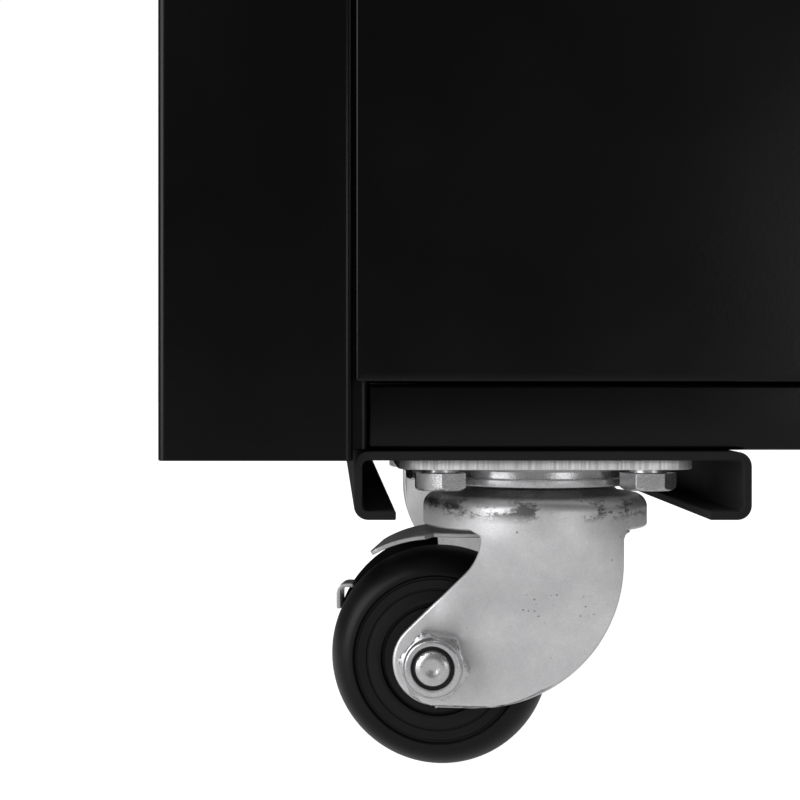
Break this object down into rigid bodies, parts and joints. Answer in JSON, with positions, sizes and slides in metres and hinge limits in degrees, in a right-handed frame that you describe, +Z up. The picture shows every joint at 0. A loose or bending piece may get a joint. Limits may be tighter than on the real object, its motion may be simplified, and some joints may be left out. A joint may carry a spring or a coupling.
{
  "type": "rolling tool chest",
  "caption": "Black steel roller cabinet for tools with drawers on side slides, a side push handle, braked swivel casters and rigid casters.",
  "frame": {"origin": "floor level under the middle of the overall box, push handle and pulls included", "axes": "+X from the push-handle side to the other side, +Y from the drawer fronts to the back, +Z up"},
  "size_m": [0.7304, 0.471, 0.864],
  "materials": {
    "black_enamel": "gloss black baked enamel on folded steel sheet",
    "zinc_plate": "bright zinc plating on pressed steel, lightly mottled",
    "slide_steel": "plain rolled steel, satin",
    "pull_aluminium": "satin anodised extrusion",
    "chrome_trim": "polished chrome plating",
    "rubber_mat": "ribbed black rubber",
    "polymer_wheel": "moulded black rubber on a black polymer hub"
  },
  "bodies": {
    "cabinet": {"side_panel_left": "black_enamel", "side_panel_right": "black_enamel", "back_panel": "black_enamel", "bottom_pan": "black_enamel", "top_panel": "black_enamel", "top_mat": "rubber_mat", "top_rail": "black_enamel", "base_rail": "black_enamel", "caster_channel_left": "black_enamel", "caster_channel_right": "black_enamel", "side_handle": "chrome_trim", "drawer_1_cabinet_slide_left": "slide_steel", "drawer_1_cabinet_slide_right": "slide_steel", "drawer_2_cabinet_slide_left": "slide_steel", "drawer_2_cabinet_slide_right": "slide_steel", "drawer_3_cabinet_slide_left": "slide_steel", "drawer_3_cabinet_slide_right": "slide_steel", "drawer_4_cabinet_slide_left": "slide_steel", "drawer_4_cabinet_slide_right": "slide_steel", "caster_front_left_plate": "zinc_plate", "caster_rear_left_plate": "zinc_plate", "caster_front_right_bracket": "zinc_plate", "caster_front_right_axle_bolt": "zinc_plate", "caster_front_right_axle_nut": "zinc_plate", "caster_rear_right_bracket": "zinc_plate", "caster_rear_right_axle_bolt": "zinc_plate", "caster_rear_right_axle_nut": "zinc_plate"},
    "lock": {"lock_barrel": "chrome_trim"},
    "drawer_1": {"drawer_1_front": "black_enamel", "drawer_1_box": "black_enamel", "drawer_1_pull": "pull_aluminium", "drawer_1_drawer_slide_left": "slide_steel", "drawer_1_drawer_slide_right": "slide_steel"},
    "drawer_2": {"drawer_2_front": "black_enamel", "drawer_2_box": "black_enamel", "drawer_2_pull": "pull_aluminium", "drawer_2_drawer_slide_left": "slide_steel", "drawer_2_drawer_slide_right": "slide_steel"},
    "drawer_3": {"drawer_3_front": "black_enamel", "drawer_3_box": "black_enamel", "drawer_3_pull": "pull_aluminium", "drawer_3_drawer_slide_left": "slide_steel", "drawer_3_drawer_slide_right": "slide_steel"},
    "drawer_4": {"drawer_4_front": "black_enamel", "drawer_4_box": "black_enamel", "drawer_4_pull": "pull_aluminium", "drawer_4_drawer_slide_left": "slide_steel", "drawer_4_drawer_slide_right": "slide_steel"},
    "caster_front_left_swivel": {"caster_front_left_fork": "zinc_plate", "caster_front_left_axle_bolt": "zinc_plate", "caster_front_left_axle_nut": "zinc_plate"},
    "caster_front_left_roller": {"caster_front_left_wheel": "polymer_wheel"},
    "caster_front_left_brake": {"caster_front_left_brake_pedal": "zinc_plate"},
    "caster_rear_left_swivel": {"caster_rear_left_fork": "zinc_plate", "caster_rear_left_axle_bolt": "zinc_plate", "caster_rear_left_axle_nut": "zinc_plate"},
    "caster_rear_left_roller": {"caster_rear_left_wheel": "polymer_wheel"},
    "caster_rear_left_brake": {"caster_rear_left_brake_pedal": "zinc_plate"},
    "caster_front_right_roller": {"caster_front_right_wheel": "polymer_wheel"},
    "caster_rear_right_roller": {"caster_rear_right_wheel": "polymer_wheel"}
  },
  "joints": [
    {"name": "lock_turn", "type": "hinge", "parent": "cabinet", "child": "lock", "pos_m": [0.02875, -0.2215, 0.8283], "axis": [0, 1, 0], "range_deg": [0, 90]},
    {"name": "drawer_1_slide", "type": "slide", "parent": "cabinet", "child": "drawer_1", "axis": [0, -1, 0], "range_m": [0, 0.3]},
    {"name": "drawer_2_slide", "type": "slide", "parent": "cabinet", "child": "drawer_2", "axis": [0, -1, 0], "range_m": [0, 0.3]},
    {"name": "drawer_3_slide", "type": "slide", "parent": "cabinet", "child": "drawer_3", "axis": [0, -1, 0], "range_m": [0, 0.3]},
    {"name": "drawer_4_slide", "type": "slide", "parent": "cabinet", "child": "drawer_4", "axis": [0, -1, 0], "range_m": [0, 0.3]},
    {"name": "caster_front_left_swivel_turn", "type": "hinge", "parent": "cabinet", "child": "caster_front_left_swivel", "pos_m": [-0.18455, -0.1685, 0], "axis": [0, 0, 1], "continuous": true},
    {"name": "caster_front_left_wheel_spin", "type": "hinge", "parent": "caster_front_left_swivel", "child": "caster_front_left_roller", "pos_m": [-0.21644, -0.16402, 0.0372], "axis": [0.1392, 0.9903, 0], "continuous": true},
    {"name": "caster_front_left_brake_press", "type": "hinge", "parent": "caster_front_left_swivel", "child": "caster_front_left_brake", "pos_m": [-0.19445, -0.16711, 0.0797], "axis": [-0.1392, -0.9903, 0], "range_deg": [0, 4.2], "stiffness_Nm_per_rad": 2},
    {"name": "caster_rear_left_swivel_turn", "type": "hinge", "parent": "cabinet", "child": "caster_rear_left_swivel", "pos_m": [-0.18455, 0.1825, 0], "axis": [0, 0, 1], "continuous": true},
    {"name": "caster_rear_left_wheel_spin", "type": "hinge", "parent": "caster_rear_left_swivel", "child": "caster_rear_left_roller", "pos_m": [-0.15235, 0.1825, 0.0372], "axis": [0, -1, 0], "continuous": true},
    {"name": "caster_rear_left_brake_press", "type": "hinge", "parent": "caster_rear_left_swivel", "child": "caster_rear_left_brake", "pos_m": [-0.17455, 0.1825, 0.0797], "axis": [0, 1, 0], "range_deg": [0, 4.2], "stiffness_Nm_per_rad": 2},
    {"name": "caster_front_right_wheel_spin", "type": "hinge", "parent": "cabinet", "child": "caster_front_right_roller", "pos_m": [0.24205, -0.1685, 0.0372], "axis": [0, 1, 0], "continuous": true},
    {"name": "caster_rear_right_wheel_spin", "type": "hinge", "parent": "cabinet", "child": "caster_rear_right_roller", "pos_m": [0.24205, 0.1825, 0.0372], "axis": [0, 1, 0], "continuous": true}
  ]
}
